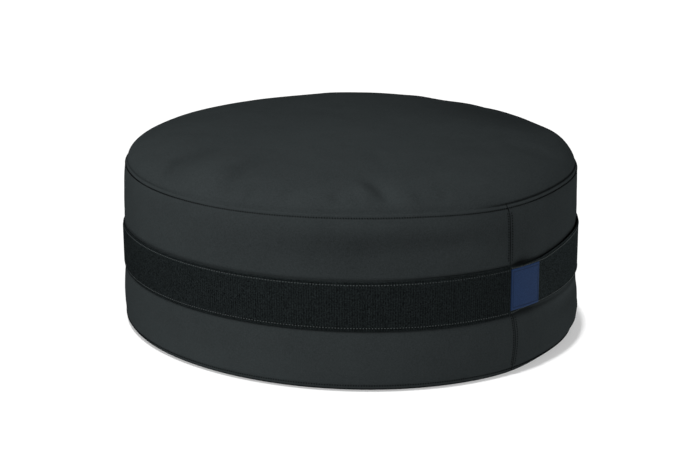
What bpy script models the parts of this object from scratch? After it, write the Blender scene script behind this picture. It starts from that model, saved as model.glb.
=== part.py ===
"""Drum-shaped floor cushion: stuffed cover, sewn webbing band, carry handle, bare label.

Metres, +Z up. The origin is the centre of the flat base. The middle of the carry
handle points along +X, and the upright side seam is near the handle's -Y end.
"""

import math

import bmesh
import bpy
from mathutils import Vector

# Driving dimensions, in metres unless the name says degrees. Heights and directions
# are those of the even cushion, before it settles.
WEBBING_OUTER_RADIUS = 0.2000
WEBBING_THICKNESS = 0.0016
WEBBING_WIDTH = 0.0415
WEBBING_MIDDLE_HEIGHT = 0.0712
WEBBING_EDGE_CHAMFER = 0.0004
PIECE_GAP = 0.0003

# The top panel rises steeply behind the rim seam and is nearly flat in its middle.
RIM_HEIGHT = 0.1440
CROWN_RISE = 0.0268
CROWN_FLATNESS = 5.0
CROWN_SHOULDER = 0.53

# The soft cushion has settled: its top leans to one side, and one side stands taller.
LEAN_PER_METRE = 0.0307
LEAN_DEGREES = 191.3
TALLER_PER_METRE = 0.134
TALL_SIDE_DEGREES = 40.0

# The handle is two layers of webbing, and the cover is drawn in behind it for a hand.
# In its middle the loose handle rides a little higher than the sewn band.
HANDLE_HALF_DEGREES = 38.5
HANDLE_THICKNESS = 0.0024
HANDLE_THICKEN_DEGREES = 10.0
HANDLE_LIFT = 0.0040
HANDLE_LIFT_DEGREES = 26.0
HOLLOW_DEPTH = 0.0080
HOLLOW_EASE_DEGREES = 12.0
HOLLOW_HALF_HEIGHT = 0.0260
HOLLOW_EASE_HEIGHT = 0.0080

SIDE_SEAM_DEGREES = -37.2
SIDE_SEAM_DEPTH = 0.0012
SIDE_SEAM_HALF_WIDTH = 0.0016

LABEL_WIDTH = 0.0350
LABEL_HEIGHT = 0.0345
LABEL_THICKNESS = 0.0008
LABEL_FROM_HANDLE_END = 0.0006

# Dents in the top fade out over this share of the way in from the rim seam.
DENT_FADE_SHARE = 0.03

# A higher power keeps the swell of the rim seam nearer the rim.
SWELL_FLATNESS = 3.0

# Fineness of the mesh. The rings of the top are shares of the rim's radius.
SEGMENTS = 96
CROWN_RINGS = (0.994, 0.982, 0.963, 0.935, 0.895, 0.84, 0.77, 0.68, 0.57, 0.44, 0.30, 0.15)

# The radius of the cover where the webbing lies on it.
SEAT_RADIUS = WEBBING_OUTER_RADIUS - WEBBING_THICKNESS - PIECE_GAP
WEBBING_FOOT = WEBBING_MIDDLE_HEIGHT - WEBBING_WIDTH / 2
WEBBING_HEAD = WEBBING_MIDDLE_HEIGHT + WEBBING_WIDTH / 2

# The cover's side from the flat base to the rim seam.
# Columns: outset from the seat radius, height, rings from this row to the next.
SIDE_SECTIONS = (
    (-0.0066, 0.0000, 3),  # edge of the flat base
    (-0.0006, 0.0013, 1),  # lower seam
    (0.0009, 0.0026, 1),  # folded lip above the lower seam
    (0.0012, 0.0048, 3),  # stitches above the lip
    (0.0024, 0.0270, 2),  # lower bulge
    (0.0010, WEBBING_FOOT - 0.0065, 2),
    (0.0000, WEBBING_FOOT - 0.0012, 3),  # seat of the webbing, lower edge
    (0.0000, WEBBING_HEAD + 0.0012, 2),  # seat of the webbing, upper edge
    (-0.0003, WEBBING_HEAD + 0.0065, 3),
    (-0.0002, 0.1130, 2),  # upper bulge
    (-0.0010, 0.1280, 3),
    (-0.0029, RIM_HEIGHT - 0.0042, 1),  # stitches below the lip
    (-0.0034, RIM_HEIGHT - 0.0018, 1),  # folded lip below the rim seam
    (-0.0048, RIM_HEIGHT, 0),  # rim seam
)

# Slow unevenness of the hand-stuffed side. Columns: waves round it, phase in degrees, swing.
UNEVENNESS = (
    (2, 35.0, 0.0003),
    (3, 80.0, 0.0003),
    (5, 10.0, 0.0002),
)

# Where the rim seam rides up or is pulled down.
# Columns: direction in degrees, half width in degrees, rise.
RIM_SWELLS = (
    (-79.0, 34.0, 0.0012),
    (-38.0, 26.0, -0.0020),
    (-160.0, 30.0, 0.0012),
    (50.0, 60.0, 0.0012),
)

# The lower corner is tucked in under the handle, as the cushion is lifted there.
TUCK_DEPTH = 0.0068
TUCK_HEIGHT = 0.016
TUCK_DEGREES = -3.0
TUCK_HALF_DEGREES = 40.0
TUCK_EASE_DEGREES = 22.0

# Soft dents in the top panel.
# Columns: direction in degrees, distance from the axis, reach, depth.
TOP_DENTS = (
    (-72.0, 0.180, 0.018, 0.0014),
    (-107.0, 0.178, 0.018, 0.0012),
    (-133.0, 0.170, 0.024, 0.0010),
    (-40.0, 0.165, 0.030, 0.0008),
    (150.0, 0.150, 0.045, 0.0012),
)

# Columns: base colour, roughness.
MATERIALS = {
    "cover_cloth": ((0.034, 0.040, 0.041, 1.0), 0.62),
    "webbing": ((0.012, 0.014, 0.015, 1.0), 0.80),
    "label_cloth": ((0.012, 0.030, 0.105, 1.0), 0.70),
}


def ease(amount):
    """A smooth step from 0 to 1."""
    amount = min(max(amount, 0.0), 1.0)
    return amount * amount * (3.0 - 2.0 * amount)


def turn_between(first, second):
    """The smallest turn from one direction to another, in degrees."""
    return (second - first + 180.0) % 360.0 - 180.0


def radius_swing(degrees):
    """How far the uneven side stands out in one direction."""
    total = 0.0
    for waves, phase, swing in UNEVENNESS:
        total += swing * math.cos(math.radians(waves * degrees + phase))
    return total


def rim_swell(degrees):
    """How far the rim seam rides up in one direction."""
    total = 0.0
    for centre, half_width, rise in RIM_SWELLS:
        away = abs(turn_between(centre, degrees))
        total += rise * (1.0 - ease(away / half_width))
    return total


def tuck_depth(degrees, height):
    """How far the lower corner is tucked in under the handle."""
    away = abs(turn_between(TUCK_DEGREES, degrees))
    round_share = ease((TUCK_HALF_DEGREES - away) / TUCK_EASE_DEGREES)
    return TUCK_DEPTH * round_share * ease(1.0 - height / TUCK_HEIGHT)


def handle_lift(degrees):
    """How much higher the handle rides than the sewn band in one direction."""
    from_end = HANDLE_HALF_DEGREES - abs(turn_between(0.0, degrees))
    return HANDLE_LIFT * ease(from_end / HANDLE_LIFT_DEGREES)


def hollow_depth(degrees, height):
    """How far the cover is drawn in behind the handle."""
    from_end = HANDLE_HALF_DEGREES - abs(turn_between(0.0, degrees))
    along = abs(height - WEBBING_MIDDLE_HEIGHT - handle_lift(degrees))
    round_share = ease(from_end / HOLLOW_EASE_DEGREES)
    up_share = ease((HOLLOW_HALF_HEIGHT + HOLLOW_EASE_HEIGHT - along) / HOLLOW_EASE_HEIGHT)
    return HOLLOW_DEPTH * round_share * up_share


def side_seam_depth(degrees):
    """How far the upright seam pulls the cover in."""
    away = abs(math.radians(turn_between(SIDE_SEAM_DEGREES, degrees))) * SEAT_RADIUS
    return SIDE_SEAM_DEPTH * (1.0 - ease(away / SIDE_SEAM_HALF_WIDTH))


def top_dent_depth(x, y):
    """How far the top panel sinks at one place."""
    total = 0.0
    for degrees, distance, reach, depth in TOP_DENTS:
        angle = math.radians(degrees)
        centre = Vector((distance * math.cos(angle), distance * math.sin(angle)))
        away = (Vector((x, y)) - centre).length / reach
        total += depth * math.exp(-away * away)
    return total


def smooth_sections(rows):
    """Ring places along a smooth curve through the rows' (outset, height) points."""
    points = [Vector(row[:2]) for row in rows]
    lengths = [(b - a).length for a, b in zip(points, points[1:])]
    slopes = [(points[1] - points[0]) / lengths[0]]
    for index in range(1, len(points) - 1):
        span = lengths[index - 1] + lengths[index]
        slopes.append((points[index + 1] - points[index - 1]) / span)
    slopes.append((points[-1] - points[-2]) / lengths[-1])
    places = []
    for index, length in enumerate(lengths):
        start, end = points[index], points[index + 1]
        leave, arrive = slopes[index] * length, slopes[index + 1] * length
        steps = rows[index][2]
        for step in range(steps):
            t = step / steps
            u = 1.0 - t
            place = start * (u * u * (1.0 + 2.0 * t)) + leave * (u * u * t)
            place += end * (t * t * (3.0 - 2.0 * t)) - arrive * (t * t * u)
            places.append(place)
    places.append(points[-1])
    return places


def cover_directions():
    """Directions round the cover in degrees, closer together beside the upright seam."""
    step = 360.0 / SEGMENTS
    directions = [index * step - 180.0 for index in range(SEGMENTS)]
    for offset in (0.5 * SIDE_SEAM_HALF_WIDTH, SIDE_SEAM_HALF_WIDTH):
        turn = math.degrees(offset / SEAT_RADIUS)
        directions += [SIDE_SEAM_DEGREES - turn, SIDE_SEAM_DEGREES + turn]
    return sorted(directions)


def settled(x, y, z):
    """A point of the even cushion, moved to where it lies in the settled one."""
    tall = math.radians(TALL_SIDE_DEGREES)
    level = z * (1.0 + TALLER_PER_METRE * (x * math.cos(tall) + y * math.sin(tall)))
    lean = math.radians(LEAN_DEGREES)
    shift = LEAN_PER_METRE * level
    return (x + shift * math.cos(lean), y + shift * math.sin(lean), level)


def side_point(degrees, outset, height):
    """A point of the cover's side in one direction."""
    rise = height / RIM_HEIGHT
    radius = SEAT_RADIUS + outset + radius_swing(degrees)
    radius -= hollow_depth(degrees, height) + tuck_depth(degrees, height)
    radius -= side_seam_depth(degrees)
    angle = math.radians(degrees)
    level = height + rim_swell(degrees) * ease(rise * 2.0 - 1.0)
    return settled(radius * math.cos(angle), radius * math.sin(angle), level)


def crown_height(share):
    """Height above the rim seam at a share of the way from the axis to the rim."""
    return CROWN_RISE * (1.0 - share ** CROWN_FLATNESS) ** CROWN_SHOULDER


def top_point(degrees, share):
    """A point of the top panel, at a share of the way from the axis to the rim seam."""
    angle = math.radians(degrees)
    radius = (SEAT_RADIUS + SIDE_SECTIONS[-1][0] + radius_swing(degrees)) * share
    x = radius * math.cos(angle)
    y = radius * math.sin(angle)
    height = RIM_HEIGHT + rim_swell(degrees) * share ** SWELL_FLATNESS + crown_height(share)
    height -= top_dent_depth(x, y) * ease((1.0 - share) / DENT_FADE_SHARE)
    return settled(x, y, height)


def skin_rings(bm, rings):
    """Faces between each ring of vertices and the next."""
    for lower, upper in zip(rings, rings[1:]):
        count = len(lower)
        for index in range(count):
            after = (index + 1) % count
            bm.faces.new((lower[index], lower[after], upper[after], upper[index]))


def finish_object(name, bm, material, sharp_degrees):
    """A smooth-shaded object with its faces pointing out, made from a bmesh."""
    bmesh.ops.recalc_face_normals(bm, faces=bm.faces)
    mesh = bpy.data.meshes.new(name)
    bm.to_mesh(mesh)
    bm.free()
    mesh.materials.append(material)
    mesh.shade_smooth()
    mesh.set_sharp_from_angle(angle=math.radians(sharp_degrees))
    thing = bpy.data.objects.new(name, mesh)
    bpy.context.scene.collection.objects.link(thing)
    return thing


def make_material(name):
    """A Principled material with the colour and roughness of its row."""
    colour, roughness = MATERIALS[name]
    material = bpy.data.materials.new(name)
    material.use_nodes = True
    shader = material.node_tree.nodes["Principled BSDF"]
    shader.inputs["Base Color"].default_value = colour
    shader.inputs["Roughness"].default_value = roughness
    shader.inputs["Metallic"].default_value = 0.0
    return material


def make_cushion(material):
    """The stuffed cover: flat base, rolled edges, side with its seams, crowned top."""
    directions = cover_directions()
    bm = bmesh.new()
    rings = []
    for outset, height in smooth_sections(SIDE_SECTIONS):
        rings.append([bm.verts.new(side_point(d, outset, height)) for d in directions])
    for share in CROWN_RINGS:
        rings.append([bm.verts.new(top_point(d, share)) for d in directions])
    skin_rings(bm, rings)
    bm.faces.new(list(reversed(rings[0])))
    crown = bm.verts.new(top_point(0.0, 0.0))
    last = rings[-1]
    for index, vert in enumerate(last):
        bm.faces.new((vert, last[(index + 1) % len(last)], crown))
    return finish_object("cushion", bm, material, 50.0)


def strip_section(inner, outer, foot, head):
    """The eight corners of a flat strip with small chamfers, as (radius, height)."""
    cut = WEBBING_EDGE_CHAMFER
    return (
        (inner + cut, foot), (outer - cut, foot),
        (outer, foot + cut), (outer, head - cut),
        (outer - cut, head), (inner + cut, head),
        (inner, head - cut), (inner, foot + cut),
    )


def make_strip(name, material, directions, shape):
    """A strip round the side. shape gives (inner, outer, foot, head) in a direction."""
    bm = bmesh.new()
    loops = []
    for degrees in directions:
        angle = math.radians(degrees)
        loop = []
        for radius, height in strip_section(*shape(degrees)):
            place = settled(radius * math.cos(angle), radius * math.sin(angle), height)
            loop.append(bm.verts.new(place))
        loops.append(loop)
    skin_rings(bm, loops)
    bm.faces.new(list(reversed(loops[0])))
    bm.faces.new(loops[-1])
    return finish_object(name, bm, material, 40.0)


def directions_between(first, last):
    """Both ends and the cover's own directions between them, in degrees, turning left."""
    sweep = (last - first) % 360.0
    inside = [(d - first) % 360.0 for d in cover_directions()]
    clear = math.degrees(4.0 * PIECE_GAP / SEAT_RADIUS)
    turns = sorted(turn for turn in inside if clear < turn < sweep - clear)
    return [first] + [first + turn for turn in turns] + [last]


def band_shape(degrees):
    """Inner and outer radius, foot and head of the sewn band in one direction."""
    inner = SEAT_RADIUS + PIECE_GAP + radius_swing(degrees)
    return inner, inner + WEBBING_THICKNESS, WEBBING_FOOT, WEBBING_HEAD


def handle_shape(degrees):
    """Inner and outer radius, foot and head of the handle in one direction."""
    from_end = HANDLE_HALF_DEGREES - abs(turn_between(0.0, degrees))
    share = ease(from_end / HANDLE_THICKEN_DEGREES)
    outer = WEBBING_OUTER_RADIUS + radius_swing(degrees)
    thickness = WEBBING_THICKNESS + (HANDLE_THICKNESS - WEBBING_THICKNESS) * share
    lift = handle_lift(degrees)
    return outer - thickness, outer, WEBBING_FOOT + lift, WEBBING_HEAD + lift


def label_shape(degrees):
    """Inner and outer radius, foot and head of the label, on the handle's face."""
    inner = handle_shape(degrees)[1] + PIECE_GAP
    foot = WEBBING_MIDDLE_HEIGHT + handle_lift(degrees) - LABEL_HEIGHT / 2
    return inner, inner + LABEL_THICKNESS, foot, foot + LABEL_HEIGHT


def make_webbing_and_label(webbing, label_cloth):
    """The band, the handle between its ends, and the label beside the upright seam."""
    half_gap = math.degrees(PIECE_GAP / 2 / SEAT_RADIUS)
    end = HANDLE_HALF_DEGREES
    band_ends = (end + half_gap, 360.0 - end - half_gap)
    handle_ends = (half_gap - end, end - half_gap)
    label_start = math.degrees(LABEL_FROM_HANDLE_END / WEBBING_OUTER_RADIUS) - end
    label_end = label_start + math.degrees(LABEL_WIDTH / WEBBING_OUTER_RADIUS)
    make_strip("webbing_band", webbing, directions_between(*band_ends), band_shape)
    make_strip("carry_handle", webbing, directions_between(*handle_ends), handle_shape)
    make_strip("woven_label", label_cloth, directions_between(label_start, label_end), label_shape)


def main():
    """Empties the scene and makes every piece."""
    for thing in list(bpy.data.objects):
        bpy.data.objects.remove(thing, do_unlink=True)
    make_cushion(make_material("cover_cloth"))
    make_webbing_and_label(make_material("webbing"), make_material("label_cloth"))


main()
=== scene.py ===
"""A drum-shaped floor cushion: stuffed cover, ribbed webbing, carry handle, bare label.

Metres, +Z up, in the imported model's frame: the origin is the centre of the flat base and
+X points to the middle of the handle. Shapes are worked out on an even, upright cushion
and then moved by settled(), which gives the lean and slant of the soft one. A place on
the even cushion is a direction in degrees, a radius and a height.
"""

import math

import bpy
import numpy as np
from mathutils import Matrix, Vector, noise


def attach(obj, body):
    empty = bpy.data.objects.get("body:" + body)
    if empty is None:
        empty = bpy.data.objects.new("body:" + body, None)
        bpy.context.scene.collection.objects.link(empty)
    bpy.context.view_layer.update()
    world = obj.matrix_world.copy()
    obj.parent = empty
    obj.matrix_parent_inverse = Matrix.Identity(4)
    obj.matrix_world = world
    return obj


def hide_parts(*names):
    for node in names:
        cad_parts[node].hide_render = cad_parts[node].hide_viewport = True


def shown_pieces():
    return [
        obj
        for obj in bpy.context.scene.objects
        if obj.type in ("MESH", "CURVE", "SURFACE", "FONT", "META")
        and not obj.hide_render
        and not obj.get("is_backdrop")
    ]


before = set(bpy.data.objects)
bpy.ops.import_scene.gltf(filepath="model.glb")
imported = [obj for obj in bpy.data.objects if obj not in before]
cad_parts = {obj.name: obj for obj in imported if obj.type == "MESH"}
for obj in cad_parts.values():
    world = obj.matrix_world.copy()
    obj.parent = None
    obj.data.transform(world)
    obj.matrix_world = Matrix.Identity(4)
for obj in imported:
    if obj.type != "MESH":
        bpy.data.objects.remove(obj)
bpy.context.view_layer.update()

# ---- sizes of the cushion

WEBBING_OUTER_RADIUS = 0.2
WEBBING_THICKNESS = 0.0016
WEBBING_WIDTH = 0.0415
WEBBING_MIDDLE_HEIGHT = 0.0712
PIECE_GAP = 0.0003
SEAT_RADIUS = WEBBING_OUTER_RADIUS - WEBBING_THICKNESS - PIECE_GAP
WEBBING_FOOT = WEBBING_MIDDLE_HEIGHT - WEBBING_WIDTH / 2
WEBBING_HEAD = WEBBING_MIDDLE_HEIGHT + WEBBING_WIDTH / 2

RIM_HEIGHT = 0.144
CROWN_RISE = 0.0268
CROWN_FLATNESS = 5.0
CROWN_SHOULDER = 0.53

LEAN_PER_METRE = 0.0307
LEAN_DEGREES = 191.3
TALLER_PER_METRE = 0.134
TALL_SIDE_DEGREES = 40.0

TUCK_DEPTH = 0.005
TUCK_HEIGHT = 0.0125
TUCK_DEGREES = -3.0
TUCK_HALF_DEGREES = 40.0
TUCK_EASE_DEGREES = 22.0

# Columns: waves round the side, phase in degrees, swing of the radius.
UNEVENNESS = (
    (2, 35, 0.0003), (3, 80, 0.0003), (5, 10, 0.0002),
)

# Columns: direction in degrees, half width in degrees, rise of the rim seam.
RIM_SWELLS = (
    (-79, 34, 0.0012), (-38, 26, -0.002), (-160, 30, 0.0012), (50, 60, 0.0012),
)
SWELL_FLATNESS = 3.0

# The cover's side, from the flat base to the crease of the rim seam.
# Columns: outset from the seat radius, height, rings to the next row, whether the rings
# are fine enough to show single stitches.
SIDE_SECTIONS = (
    (-0.0066, 0, 2, True),  # edge of the flat base
    (-0.002, 0.0003, 1, True),
    (-0.0007, 0.001, 1, True),  # roll of the bottom panel
    (-0.0008, 0.0016, 1, True),  # lower seam, in its crease
    (0.0003, 0.0021, 1, True),
    (0.0009, 0.0029, 1, True),  # folded lip
    (0.0011, 0.004, 1, True),
    (0.001, 0.0048, 1, True),  # stitched line
    (0.0013, 0.0058, 2, True),
    (0.0016, 0.0085, 5, False),
    (0.0024, 0.027, 5, False),  # lower bulge
    (0.0011, WEBBING_FOOT - 0.006, 3, False),
    (0.0004, WEBBING_FOOT - 0.001, 2, False),
    (-0.0007, WEBBING_FOOT + 0.0003, 1, False),  # pulled in by the stitches of the webbing
    (0, WEBBING_FOOT + 0.0025, 5, False),
    (0, WEBBING_HEAD - 0.0025, 1, False),
    (-0.0003, WEBBING_HEAD - 0.0003, 2, False),
    (0.0001, WEBBING_HEAD + 0.001, 3, False),
    (-0.0001, WEBBING_HEAD + 0.0065, 5, False),
    (-0.0002, 0.113, 4, False),  # upper bulge
    (-0.001, 0.128, 3, False),
    (-0.0021, RIM_HEIGHT - 0.0056, 2, True),
    (-0.0026, RIM_HEIGHT - 0.004, 1, True),
    (-0.003, RIM_HEIGHT - 0.0033, 1, True),  # stitched line
    (-0.0031, RIM_HEIGHT - 0.0026, 1, True),
    (-0.0034, RIM_HEIGHT - 0.0014, 1, True),  # folded lip
    (-0.0038, RIM_HEIGHT - 0.0006, 1, True),
    (-0.0045, RIM_HEIGHT - 0.0003, 0, True),  # rim seam, in its crease
)
LOWER_CREASE_HEIGHT = SIDE_SECTIONS[3][1]
RIM_FOLD_HEIGHT, RIM_CREASE_HEIGHT = SIDE_SECTIONS[-2][1], SIDE_SECTIONS[-1][1]
RIM_STITCH_OUTSET, RIM_STITCH_HEIGHT = -0.003, RIM_HEIGHT - 0.0033
FOOT_STITCH_OUTSET, FOOT_STITCH_HEIGHT = 0.001, 0.0048

# Rings of the top panel as shares of the rim's radius, and the way round them:
# 3 for single stitches, 1 for the plain mesh, 0.5 and 0.25 where the rings are short.
CROWN_RINGS = (
    (0.999, 3), (0.9965, 3), (0.992, 3), (0.986, 3), (0.978, 1), (0.968, 1), (0.956, 1), (0.942, 1),
    (0.926, 1), (0.908, 1), (0.886, 1), (0.862, 1), (0.836, 1), (0.808, 1), (0.778, 0.5),
    (0.746, 0.5), (0.71, 0.5), (0.67, 0.5), (0.625, 0.5), (0.575, 0.5), (0.52, 0.5), (0.46, 0.5),
    (0.395, 0.25), (0.325, 0.25), (0.25, 0.25), (0.175, 0.25), (0.1, 0.25), (0.045, 0.25),
)
BASE_RINGS = (
    (0.05, 0.25), (0.25, 0.25), (0.5, 0.5), (0.75, 0.5), (0.92, 1), (0.98, 1),
)

STITCH_PITCH = 0.0021
STITCHES_ROUND = 580
DIMPLE_DEPTH, DIMPLE_HALF_HEIGHT = 0.00008, 0.0008

# The upright seam slants a little. Columns: height, direction in degrees.
SIDE_SEAM = (
    (0, -37.1), (0.006, -37), (0.011, -36.9), (0.021, -36.6), (0.036, -36.5), (0.047, -36.9),
    (0.075, -37.8), (0.1, -38.15), (0.12, -38.1), (0.134, -38.1), (0.144, -38.8),
)
SEAM_MIDDLE_DEGREES = -37.2
SEAM_CREASE_DEPTH, SEAM_CREASE_HALF_WIDTH = 0.0006, 0.0004
SEAM_LIP_RISE, SEAM_LIP_WIDTH, SEAM_LIP_EASE = 0.00022, 0.0022, 0.0014
SEAM_ROW_FROM_CREASE, SEAM_ROW_DEPTH, SEAM_ROW_HALF_WIDTH = 0.0021, 0.0001, 0.0005
SEAM_FOOT, SEAM_HEAD, SEAM_END_EASE = 0.0018, RIM_HEIGHT - 0.0006, 0.0012
# The closer columns beside it: how many, how many plain ones they take the place of on
# each side, and over how many degrees the columns follow the slant.
SEAM_COLUMNS, SEAM_REACH, SEAM_FOLLOW_DEGREES = 48, 3.0, 9.0

# The loose handle. Columns: direction in degrees, height of its foot, height of its head.
HANDLE_EDGES = (
    (-38.5, 0.0508, 0.0912), (-35, 0.0532, 0.0903), (-28, 0.054, 0.0912), (-20, 0.0548, 0.0943),
    (-10, 0.0552, 0.0968), (4, 0.0548, 0.0962), (20, 0.0528, 0.0943), (32, 0.0508, 0.0923),
    (38.5, 0.0505, 0.092),
)
HANDLE_HALF_DEGREES = 38.5
HANDLE_PLY = 0.00105
EDGE_KNOTS, EDGE_BLUR = 78, 9
HOLLOW_DEPTH = 0.0052
HOLLOW_INSET = 0.0065
HOLLOW_EASE_DEGREES = 9.0
HOLLOW_EASE_HEIGHT = 0.005
# The handle's edges nearly touch the cover: the room they have, how far it reaches past
# them, and how soon it starts at the handle's ends.
CLEARANCE, CLEARANCE_REACH, CLEARANCE_EASE_DEGREES = 0.0009, 0.0003, 2.0

LABEL_START_DEGREES = -38.3
LABEL_WIDTH = 0.035
LABEL_FOOT = 0.0546
LABEL_HEAD = 0.0891
LABEL_THICKNESS = 0.0006
LABEL_BORDER = 0.0022
BORDER_HALF_WIDTH = 0.0004

# Soft dents of the top panel, each a stretched hollow.
# Columns: direction in degrees, distance from the axis, turn of its long way from the
# radius in degrees, half length, half width, depth.
TOP_DENTS = (
    (-70.4, 0.1795, 25, 0.013, 0.0046, 0.003), (-75, 0.179, 25, 0.013, 0.005, -0.0016),
    (-129.8, 0.18, 18, 0.012, 0.006, 0.0024), (-135, 0.183, 15, 0.01, 0.0055, -0.0012),
    (-133, 0.148, 10, 0.03, 0.011, 0.0016), (-110, 0.131, 5, 0.03, 0.012, 0.0019),
    (-108.8, 0.172, 12, 0.016, 0.008, 0.0024), (-114.5, 0.175, 10, 0.014, 0.007, -0.0008),
    (-125, 0.072, 32, 0.04, 0.015, 0.0011), (-103.5, 0.188, -10, 0.006, 0.004, 0.0012),
    (-94, 0.184, 0, 0.008, 0.005, 0.0009), (-81.5, 0.187, 0, 0.006, 0.0045, 0.0015),
    (-90, 0.096, 21, 0.022, 0.01, 0.0009), (-61.8, 0.188, -10, 0.0055, 0.004, 0.0012),
    (-54.8, 0.185, -20, 0.007, 0.005, 0.0011), (-11, 0.118, 24, 0.045, 0.03, 0.0018),
    (13, 0.183, 0, 0.012, 0.05, -0.0018), (100, 0.16, 0, 0.022, 0.055, -0.0009),
    (60, 0.12, 20, 0.035, 0.014, 0.0007), (168, 0.14, 15, 0.03, 0.012, 0.0007),
)
# How steeply they fade towards the rim seam.
TOP_DENT_FADE = 30.0

# Soft dents of the side. Columns: direction in degrees, height, half width in degrees,
# half height, depth.
SIDE_DENTS = (
    (-74, 0.1315, 22, 0.006, -0.0008), (-73, 0.113, 12, 0.01, 0.0026),
    (-91, 0.111, 9, 0.01, 0.0014), (-55, 0.117, 8, 0.0085, 0.0024), (-103, 0.113, 7, 0.01, 0.001),
    (-121, 0.118, 8, 0.012, 0.0005), (-34, 0.0938, 2.8, 0.0042, 0.0018),
    (-33.6, 0.0908, 4, 0.0016, 0.0012), (-33, 0.0516, 4.4, 0.0028, 0.0026),
    (6, 0.017, 20, 0.0075, -0.001), (-29, 0.1, 6, 0.007, 0.0006), (12, 0.144, 25, 0.011, -0.0018),
    (-90, 0.02, 8, 0.008, -0.0004), (-55, 0.022, 6, 0.008, -0.0004),
    (-118, 0.015, 7, 0.008, 0.0005), (45, 0.119, 12, 0.0095, 0.0009), (90, 0.118, 15, 0.009, 0.001),
    (132, 0.028, 12, 0.009, 0.0007), (170, 0.118, 11, 0.009, 0.0009),
)

# Painted light and shade on the cover: patches of its colour made lighter where more light falls,
# and darker in its dents, in the gaps behind and under the handle and where it turns from the
# light.
# Side columns: direction in degrees, height, half width in degrees, half height, share.
SIDE_PAINTED_SHADING = (
    (-80, 0.1145, 15, 0.016, -0.11), (-57, 0.12, 13, 0.009, -0.05), (-72, 0.1235, 18, 0.005, -0.04),
    (-73, 0.136, 14, 0.004, 0.05), (-40, 0.115, 9, 0.022, -0.09), (-26, 0.115, 9, 0.022, -0.03),
    (-104, 0.112, 9, 0.016, -0.05), (-40, 0.02, 12, 0.022, -0.04), (-125, 0.012, 22, 0.016, 0.1),
    (-98, 0.012, 16, 0.016, 0.08), (-76, 0.016, 12, 0.02, 0.05), (-10, 0.048, 14, 0.006, 0.2),
    (-34.2, 0.0925, 2.4, 0.0038, -0.22), (-33.6, 0.0903, 4.2, 0.0014, -0.3),
    (-33.4, 0.0522, 4.2, 0.0016, -0.4),
)
# Top columns: the same as those of TOP_DENTS, with a share of painted light and shade for the
# depth.
TOP_PAINTED_SHADING = (
    (-72.8, 0.178, 25, 0.015, 0.006, -0.1), (-67, 0.178, 25, 0.013, 0.006, 0.05),
    (-132.8, 0.179, 18, 0.013, 0.006, -0.07), (-134, 0.15, 10, 0.028, 0.009, -0.06),
    (-113, 0.148, 5, 0.03, 0.01, -0.06), (-111.7, 0.172, 12, 0.014, 0.007, -0.05),
    (-103.5, 0.186, -10, 0.007, 0.0045, -0.05), (-94, 0.182, 0, 0.008, 0.005, -0.04),
    (-82.5, 0.185, 0, 0.006, 0.005, -0.05), (-61.8, 0.186, -10, 0.006, 0.0045, -0.05),
    (-91.4, 0.16, 0, 0.022, 0.06, -0.02), (-90, 0.05, 0, 0.07, 0.06, 0.05),
    (46, 0.135, 0, 0.05, 0.08, -0.12), (21, 0.143, 0, 0.035, 0.045, -0.08),
)
# A painted highlight along the light edge of the rim's folded lip: where it is closed, and what
# opening adds.
LIP_HEIGHT, LIP_HALF_HEIGHT = RIM_HEIGHT - 0.0017, 0.0009
LIP_PAINTED_HIGHLIGHT, LIP_CLOSED, LIP_OPENING = 0.1, 0.15, 0.85

# How far the rim seam's folds stand apart, which sets its painted shade and highlight: most on the
# handle's side, some at the left.
# Each: direction in degrees, over how many degrees, how far.
RIM_OPENS = (-50.0, 14.0)
RIM_CLOSES = (110.0, 60.0, 0.6)
RIM_OPENS_LEFT = (-118.0, 20.0, 0.4)

# Painted shade in the creases and along the foot of the cover, darkening its colour, from 0 to 1.
UPRIGHT_SHADE, UPRIGHT_SHADE_HALF_WIDTH = 0.98, 0.00046
BOTTOM_SHADE, BOTTOM_SHADE_HEIGHT = 0.25, 0.0012
LOWER_CREASE_SHADE = 0.9
RIM_SHADE_CLOSED, RIM_SHADE_OPENING = 0.08, 0.72
RIM_CREASE_SHADE, RIM_FOLD_SHADE = 0.9, 0.45
TOLERANCE = 1e-6


# ---- shape rules

def ease(amount):
    """A smooth step from 0 to 1."""
    amount = np.clip(amount, 0.0, 1.0)
    return amount * amount * (3.0 - 2.0 * amount)


def bell(amount):
    """A soft hump that is 1 at nought."""
    return np.exp(-(amount ** 2))


def turn_between(first, second):
    """The smallest turn from one direction to another, in degrees."""
    return (second - first + 180.0) % 360.0 - 180.0


def around(radius, degrees, height):
    """Points at a radius, a direction and a height."""
    angle = np.radians(degrees)
    return np.stack([radius * np.cos(angle), radius * np.sin(angle), height + 0.0 * angle], -1)


def settled(points):
    """Points of the even cushion, moved to where they lie in the settled one."""
    x, y, z = np.asarray(points, float).T
    tall = math.radians(TALL_SIDE_DEGREES)
    level = z * (1.0 + TALLER_PER_METRE * (x * math.cos(tall) + y * math.sin(tall)))
    lean = math.radians(LEAN_DEGREES)
    shift = LEAN_PER_METRE * level
    return np.stack([x + shift * math.cos(lean), y + shift * math.sin(lean), level], -1)


def radius_swing(degrees):
    """How far the uneven side stands out in one direction."""
    return sum(
        swing * np.cos(np.radians(waves * degrees + phase))
        for waves, phase, swing in UNEVENNESS)


def rim_swell(degrees):
    """How far the rim seam rides up in one direction."""
    return sum(
        rise * (1.0 - ease(np.abs(turn_between(centre, degrees)) / half_width))
        for centre, half_width, rise in RIM_SWELLS)


def tuck_depth(degrees, height):
    """How far the lower corner is tucked in under the handle."""
    away = np.abs(turn_between(TUCK_DEGREES, degrees))
    round_share = ease((TUCK_HALF_DEGREES - away) / TUCK_EASE_DEGREES)
    return TUCK_DEPTH * round_share * ease(1.0 - height / TUCK_HEIGHT)


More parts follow.
